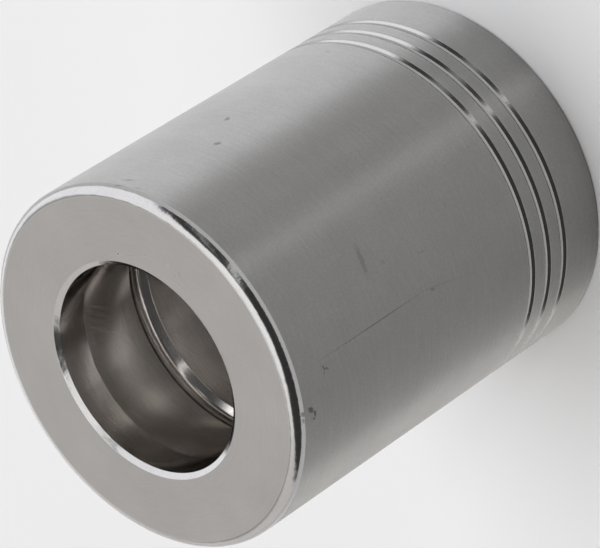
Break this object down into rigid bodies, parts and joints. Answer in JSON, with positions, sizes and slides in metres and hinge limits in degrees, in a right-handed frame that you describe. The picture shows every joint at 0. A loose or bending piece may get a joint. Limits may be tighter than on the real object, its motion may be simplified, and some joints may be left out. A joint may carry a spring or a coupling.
{
  "type": "crimp hose ferrule",
  "caption": "Turned steel sleeve that crimps a hydraulic hose onto its tail, with a lipped collar bore, grip grooves inside and shallow rings cut round the mouth end.",
  "frame": {"origin": "centre of the mouth rim, on the axis, in the plane that the sleeve stands on", "axes": "+Z along the axis from the mouth to the collar face; the sleeve is round, so X and Y are free"},
  "size_m": [0.03, 0.03, 0.0368],
  "materials": {
    "plated_steel": "turned steel with thin bright plating, fine lathe lines"
  },
  "bodies": {
    "root": {"ferrule_sleeve": "plated_steel"}
  },
  "joints": []
}
